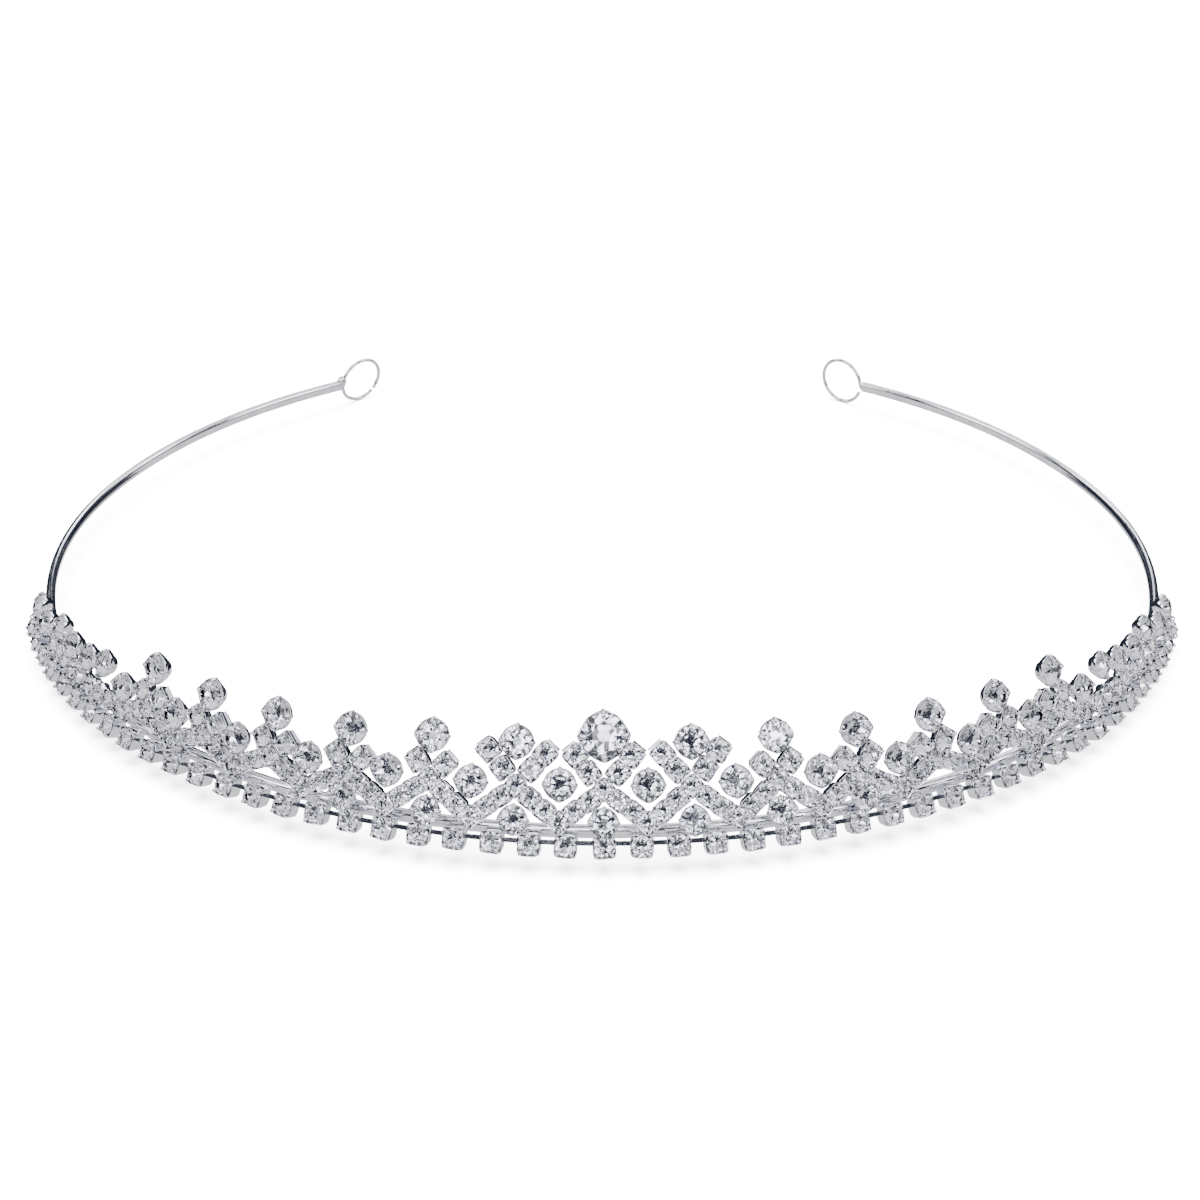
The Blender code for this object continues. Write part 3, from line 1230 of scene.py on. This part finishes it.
@dataclass
class SmallChain:
    """Cups of the close-set chain that the lattice is made of, gathered into one piece.

    Attributes:
        bench: The shared workbench.
        cup: The cup of legs, joints and rows.
        arm_cup: The larger cup of the V arms.
        rim: Height of the cups' rims over the panel.
        strip: Half the width of the backing strip.
        plate: Half length, half width and half thickness of the bare end of an arm's strip.
    """

    bench: Workbench
    cup: SquareCup = SquareCup(2.2 * MM, 1.35 * MM)
    arm_cup: SquareCup = SquareCup(2.4 * MM, 1.4 * MM)
    rim: float = 0.55 * MM
    strip: float = 0.42 * MM
    plate: tuple = (0.55 * MM, 0.86 * MM, 0.14 * MM)
    metal: Form = field(default_factory=Form)
    stones: Form = field(default_factory=Form)

    def set_cup(self, place: Place, turn: float, cup: Optional[SquareCup] = None, lift: float = 0.0) -> None:
        """Sets one cup and its stone.

        Args:
            place: Where it stands on the panel.
            turn: Its turn in radians.
            cup: The cup, or None for the usual one.
            lift: How far it stands out from the others.
        """
        cup = cup or self.cup
        seat = self.bench.hand.settle(self.bench.curve.panel(place, self.rim + lift, turn))
        self.metal.add_form(cup.form(), seat)
        self.stones.add_form(cup.stone.form(), self.bench.hand.drop_in(seat))

    def run_strip(self, start: Place, end: Place) -> None:
        """Runs the thin backing strip from one place to another.

        Args:
            start: Where it starts on the panel.
            end: Where it ends.
        """
        run = (end[0] - start[0], end[1] - start[1])
        middle = (start[0] + run[0] / 2, start[1] + run[1] / 2)
        seat = self.bench.curve.panel(middle, self.rim - self.cup.depth, math.atan2(run[1], run[0]))
        half = Vector((math.hypot(*run) / 2, self.strip, 0.09 * MM))
        self.metal.add_form(bar(half, 0.04 * MM), seat)

    def end_plate(self, place: Place, turn: float) -> None:
        """Adds the bare end of the strip behind an arm's last cup.

        Args:
            place: The plate's middle on the panel.
            turn: The arm's direction in radians.
        """
        seat = self.bench.curve.panel(place, self.rim - 0.55 * self.arm_cup.depth, turn)
        self.metal.add_form(bar(Vector(self.plate), 0.05 * MM), seat)

    def finish(self, name: str, node: str) -> None:
        """Builds the metal and the stones.

        Args:
            name: Start of the pieces' names.
            node: The CAD node that they stand for.
        """
        self.bench.metal(f"{name}_cups", self.metal, self.bench.palette.chain, Slot.CHAIN, [node])
        self.bench.stones(f"{name}_stones", self.stones)


@dataclass
class Motif:
    """One lattice motif: legs, joint, V and the round stone under the joint.

    Attributes:
        bench: The shared workbench.
        rank: Its number from the centre, 0 for the centre one.
        side: Its side; the centre motif has both feet.
        leg_cups: Cups on a leg between foot and joint.
        plate_reach: From an arm's last cup to the middle of its bare end, in cups.
        strip_reach: From an arm's last cup to the end of its backing strip, in cups.
        base_stone: The setting under the joint.
        base_stone_rim: Height of its rim over the panel.
        base_stone_drop: How far it sits below its nominal place.
    """

    bench: Workbench
    rank: int
    side: Side
    leg_cups: int = 2
    plate_reach: float = 0.35
    strip_reach: float = 0.4
    base_stone: RoundSetting = RoundSetting(1.5 * MM)
    base_stone_rim: float = 0.75 * MM
    base_stone_drop: float = 0.15 * MM

    @property
    def name(self) -> str:
        """The motif's CAD node."""
        return f"{self.side.label}_lattice_{self.rank}" if self.rank else "centre_lattice"

    def build(self) -> None:
        """Sets the motif's cups, strips and stones."""
        layout = self.bench.layout
        chain = SmallChain(self.bench)
        joint = layout.joint(self.rank, self.side)
        chain.set_cup(joint, math.radians(45), lift=0.05 * MM)
        for way in (-1, 1):
            own_foot = self.rank == 0 or way == self.side.value
            self.add_leg(chain, joint, way, own_foot)
            self.add_arm(chain, joint, way)
        if self.rank < layout.base_stone_motifs:
            self.add_base_stone(chain, joint)
        chain.finish(self.name, self.name)

    def add_leg(self, chain: SmallChain, joint: Place, way: int, own_foot: bool) -> None:
        """Adds one leg.

        Args:
            chain: The chain that takes the cups.
            joint: The motif's joint.
            way: -1 for the leg to the left, 1 to the right.
            own_foot: Whether the foot belongs to this motif.
        """
        foot = (joint[0] + way * self.bench.layout.motif_pitch / 2, self.bench.layout.foot_up)
        lean = math.atan2(joint[1] - foot[1], joint[0] - foot[0])
        for step in range(1, self.leg_cups + 1):
            share = step / (self.leg_cups + 1)
            place = (foot[0] + (joint[0] - foot[0]) * share, foot[1] + (joint[1] - foot[1]) * share)
            chain.set_cup(place, lean)
        if own_foot:
            chain.set_cup(foot, math.radians(45), lift=-0.05 * MM)
        chain.run_strip(foot, joint)

    def add_arm(self, chain: SmallChain, joint: Place, way: int) -> None:
        """Adds one arm of the V.

        Args:
            chain: The chain that takes the cups.
            joint: The motif's joint.
            way: -1 for the arm to the left, 1 to the right.
        """
        layout = self.bench.layout
        across, rise = layout.arm_step
        cups = 2 if self.rank < layout.long_arm_motifs else 1
        turn = math.atan2(rise, way * across)
        stops = [*range(1, cups + 1), cups + self.strip_reach, cups + self.plate_reach]
        *places, strip_end, plate = ((joint[0] + way * n * across, joint[1] + n * rise) for n in stops)
        for place in places:
            chain.set_cup(place, turn, chain.arm_cup)
        chain.run_strip(joint, strip_end)
        chain.end_plate(plate, turn)

    def add_base_stone(self, chain: SmallChain, joint: Place) -> None:
        """Adds the small round stone under the joint.

        Args:
            chain: The chain that takes its metal and stone.
            joint: The motif's joint.
        """
        up = self.bench.layout.base_stone_up - self.base_stone_drop
        seat = self.bench.hand.settle(self.bench.curve.panel((joint[0], up), self.base_stone_rim))
        chain.metal.add_form(self.base_stone.form(), seat)
        chain.stones.add_form(self.base_stone.stone.form(), self.bench.hand.drop_in(seat))


@dataclass
class EndChain:
    """The low chain that closes the lattice on one side."""

    bench: Workbench
    side: Side

    def build(self) -> None:
        """Sets the cups in a row."""
        layout = self.bench.layout
        chain = SmallChain(self.bench)
        places = [
            (self.side.value * (layout.end_chain_first + layout.end_chain_pitch * step), layout.end_chain_up)
            for step in range(layout.end_chain_cups)
        ]
        for number, place in enumerate(places):
            chain.set_cup(place, math.radians(45 if number % 2 else 0))
        for start, end in zip(places, places[1:]):
            chain.run_strip(start, end)
        name = f"{self.side.label}_end_chain"
        chain.finish(name, name)


@dataclass
class RoundStone:
    """A round stone in its claw setting.

    Attributes:
        bench: The shared workbench.
        node: The CAD node that it stands for.
        place: Where it stands on the panel.
        setting: The setting and its stone.
        rim: Height of the rim over the panel.
        stone_node: The stone's own CAD node, if it has one.
    """

    bench: Workbench
    node: str
    place: Place
    setting: RoundSetting
    rim: float = 0.75 * MM
    stone_node: Optional[str] = None

    def build(self) -> None:
        """Builds the setting and the stone."""
        hand = self.bench.hand
        seat = hand.settle(self.bench.curve.panel(self.place, self.rim))
        metal = Form().add_form(self.setting.form(), seat)
        stone = Form().add_form(self.setting.stone.form(), hand.drop_in(seat))
        palette = self.bench.palette
        self.bench.metal(f"{self.node}_cup", metal, palette.setting, Slot.SETTING, [self.node])
        self.bench.stones(f"{self.node}_gem", stone, [self.stone_node] if self.stone_node else ())


@dataclass
class RoundStones:
    """All the round stones that have settings of their own.

    Attributes:
        bench: The shared workbench.
        centre: The large setting at the top of the centre motif.
        peak: The settings over the other joints.
        valley: The settings between the motifs.
        end: The settings that run down to the end of the base row.
        centre_rim: Height of the large setting's rim over the panel.
    """

    bench: Workbench
    centre: RoundSetting = RoundSetting(2.45 * MM)
    peak: RoundSetting = RoundSetting(1.7 * MM)
    valley: RoundSetting = RoundSetting(1.65 * MM)
    end: RoundSetting = RoundSetting(1.55 * MM)
    centre_rim: float = 0.85 * MM

    def build(self) -> None:
        """Sets the centre stone, the peaks, the valleys and the ends."""
        layout = self.bench.layout
        top = layout.peak(0, Side.RIGHT)
        names = {"node": "centre_peak_setting", "stone_node": "centre_peak_stone"}
        RoundStone(self.bench, place=top, setting=self.centre, rim=self.centre_rim, **names).build()
        for side in Side:
            for rank in layout.ranks:
                node = f"{side.label}_peak_stone_{rank}"
                RoundStone(self.bench, node, layout.peak(rank, side), self.peak).build()
            for rank in range(1, len(layout.valley_up) + 1):
                node = f"{side.label}_valley_stone_{rank}"
                RoundStone(self.bench, node, layout.valley(rank, side), self.valley).build()
            for rank, (along, up) in enumerate(layout.end_stones, start=1):
                node = f"{side.label}_end_stone_{rank}"
                RoundStone(self.bench, node, (side.value * along, up), self.end).build()


# ---------------------------------------------------------------------- studio


@dataclass
class Studio:
    """The pale floor, the light tent and the camera.

    Attributes:
        elevation: The camera's height over the horizon in degrees.
        distance: From the camera to the place that it looks at.
        lens: Focal length in millimetres on a 36 mm sensor.
        swing: The camera's turn round the tiara in degrees.
        roll: The camera's roll in degrees.
        look_back: From the band's front back to the place that the camera looks at.
        look_down: How far below that place it looks.
        look_left: How far to the left of it.
        panels: Bright wall panels round the tiara.
        panel_gap: Where a panel ends; a larger value makes the panels narrower.
        panel_low: Height of the panels' lower edge, as the sine of its elevation.
        panel_high: Height of their upper edge.
        panel_turn: Phase of the row of panels in degrees.
        roof_low: Height where the bright roof starts.
        curtain_start: How far back a dark curtain starts, as a share of the distance.
        curtain_low: Height of the curtain's lower edge.
        curtain_high: Height of its upper edge.
        dark: Colour of the gaps low down.
        dusk: Colour of the gaps higher up.
        paper: Colour of the pale ground.
        wall_light: Brightness of the panels.
        roof_light: Brightness of the roof.
        floor_power: Power of the lamp over the floor in watts.
        floor_half: Half the floor's width in metres.
        floor_drop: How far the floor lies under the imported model, to clear the end loops.
    """

    curve: BandCurve
    elevation: float = 27.18
    distance: float = 300.0 * MM
    lens: float = 70.53
    swing: float = 0.16
    roll: float = 0.18
    look_back: float = 55.0 * MM
    look_down: float = 0.42 * MM
    look_left: float = 0.33 * MM
    panels: int = 8
    panel_gap: float = 0.34
    panel_low: float = 0.33
    panel_high: float = 0.60
    panel_turn: float = 50.0
    roof_low: float = 0.67
    curtain_start: float = 0.50
    curtain_low: float = -0.42
    curtain_high: float = 0.46
    dark: tuple = (0.016, 0.020, 0.034, 1.0)
    dusk: tuple = (0.05, 0.06, 0.08, 1.0)
    paper: tuple = (1.05, 1.05, 1.08, 1.0)
    wall_light: tuple = (6.5, 6.5, 6.7, 1.0)
    roof_light: tuple = (1.6, 1.6, 1.7, 1.0)
    floor_power: float = 420.0
    floor_half: float = 30.0
    floor_drop: float = 0.3 * MM

    def build(self) -> None:
        """Builds the floor, the light and the camera."""
        self.add_floor()
        self.add_tent()
        self.add_lamps()
        self.add_camera()

    def add_floor(self) -> None:
        """Adds the pale floor under the tiara."""
        half = self.floor_half
        corners = [(-half, -half, 0), (half, -half, 0), (half, half, 0), (-half, half, 0)]
        form = Form().add_faces(corners, [(0, 1, 2, 3)])
        made, bench = new_material("pale_paper")
        fibres = bench.noise((90.0, 90.0, 90.0), 4.0)
        colour = bench.blend(fibres, (0.90, 0.90, 0.91, 1.0), (0.93, 0.93, 0.935, 1.0))
        bench.surface({"Base Color": colour, "Roughness": 0.9})
        floor = form.build("studio_floor", [made], None)
        floor.location.z = -self.floor_drop
        floor.visible_glossy = False
        floor.visible_transmission = False

    def add_tent(self) -> None:
        """Surrounds the tiara with bright panels and dark gaps, so that polished metal has edges."""
        world = bpy.data.worlds.new("panel_studio")
        world.use_nodes = True
        bpy.context.scene.world = world
        bench = NodeBench(world.node_tree)
        direction = bench.make("ShaderNodeTexCoord").outputs["Generated"]
        parts = bench.make("ShaderNodeSeparateXYZ", None, {0: direction})
        height = bench.signal(parts, "Z")
        back = bench.signal(parts, "Y")
        towards = {0: bench.signal(parts, "X"), 1: back}
        azimuth = bench.signal(bench.make("ShaderNodeMath", {"operation": "ARCTAN2"}, towards), "Value")
        phase = azimuth * (self.panels / 2) + math.radians(self.panel_turn)
        wave = bench.make("ShaderNodeMath", {"operation": "SINE"}, {0: phase})
        ripple = bench.signal(wave, "Value")
        curtain = (back > self.curtain_start) * (height > self.curtain_low) * (height < self.curtain_high)
        open_side = 1 - curtain
        panel = ripple * ripple > self.panel_gap
        low, high, roof = self.panel_low, self.panel_high, self.roof_low
        walls = panel * (height > low) * (height < high) * open_side
        over = height > roof
        under = (height < -0.01) * open_side
        ground = bench.blend(under, bench.blend(height * 1.6, self.dark, self.dusk), self.paper)
        lit = bench.blend(walls, ground, self.wall_light)
        colour = bench.blend(over, lit, self.roof_light)
        glow = bench.make("ShaderNodeBackground", None, {"Color": colour, "Strength": 1.0})
        bench.make("ShaderNodeOutputWorld", None, {"Surface": glow.outputs[0]})

    def add_lamps(self) -> None:
        """Lights the floor from large soft lamps that polished surfaces don't mirror."""
        for name, place, size, power in (
            ("overhead_softbox", (0.0, 0.10, 1.3), 1.4, self.floor_power),
            ("front_softbox", (0.0, -1.3, 0.9), 1.0, self.floor_power * 0.35),
        ):
            data = bpy.data.lights.new(name, "AREA")
            data.shape = "SQUARE"
            data.size = size
            data.energy = power
            lamp = bpy.data.objects.new(name, data)
            lamp.location = place
            lamp.rotation_euler = (-Vector(place)).to_track_quat("-Z", "Y").to_euler()
            lamp.visible_glossy = False
            lamp.visible_transmission = False
            bpy.context.scene.collection.objects.link(lamp)

    def add_camera(self) -> None:
        """Places the camera."""
        turn = math.radians(self.swing)
        tilt = math.radians(self.elevation)
        away = Vector((0.0, -math.cos(tilt), math.sin(tilt)))
        rise = Vector((0.0, math.sin(tilt), math.cos(tilt)))
        side = Vector((1.0, 0.0, 0.0))
        unturn = Matrix.Rotation(-turn, 3, "Z")
        away, rise, side = unturn @ away, unturn @ rise, unturn @ side
        target = self.curve.front + Vector((0.0, self.look_back, 0.0)) - rise * self.look_down
        target -= side * self.look_left
        axes = Matrix((side, rise, away)).transposed().to_4x4()
        data = bpy.data.cameras.new("studio_camera")
        data.lens = self.lens
        data.sensor_width = 36.0
        data.clip_start = 0.01
        camera = bpy.data.objects.new("studio_camera", data)
        roll = Matrix.Rotation(math.radians(self.roll), 4, "Z")
        camera.matrix_world = Matrix.Translation(target + away * self.distance) @ axes @ roll
        bpy.context.scene.collection.objects.link(camera)
        bpy.context.scene.camera = camera


def write_sizes() -> None:
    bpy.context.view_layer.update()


def main() -> None:
    """Builds the tiara's pieces in order and reports each one."""
    logging.basicConfig(level=logging.INFO, format="%(name)s %(message)s")
    low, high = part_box("headband")
    front = low.y + Headband.depth / 2 - FACET_DIP
    curve = BandCurve(Vector(((low.x + high.x) / 2, front, (low.z + high.z) / 2)))
    bench = Workbench(curve, Layout(), Palette())
    Headband(bench).build()
    bead = (0.78 * MM, 0.62 * MM, 0.98 * MM)
    EndRing(bench, Side.LEFT, roll=12.0, swing=6.0, gap_start=138.0, gap=5.0, bead=bead).build()
    EndRing(bench, Side.RIGHT, roll=-5.0, swing=-5.0, gap_start=20.0, gap=24.0).build()
    BaseRow(bench).build()
    Motif(bench, 0, Side.RIGHT).build()
    for side in Side:
        for rank in bench.layout.ranks:
            Motif(bench, rank, side).build()
        EndChain(bench, side).build()
    RoundStones(bench).build()
    Studio(curve).build()
    write_sizes()


if __name__ == "__main__":
    main()
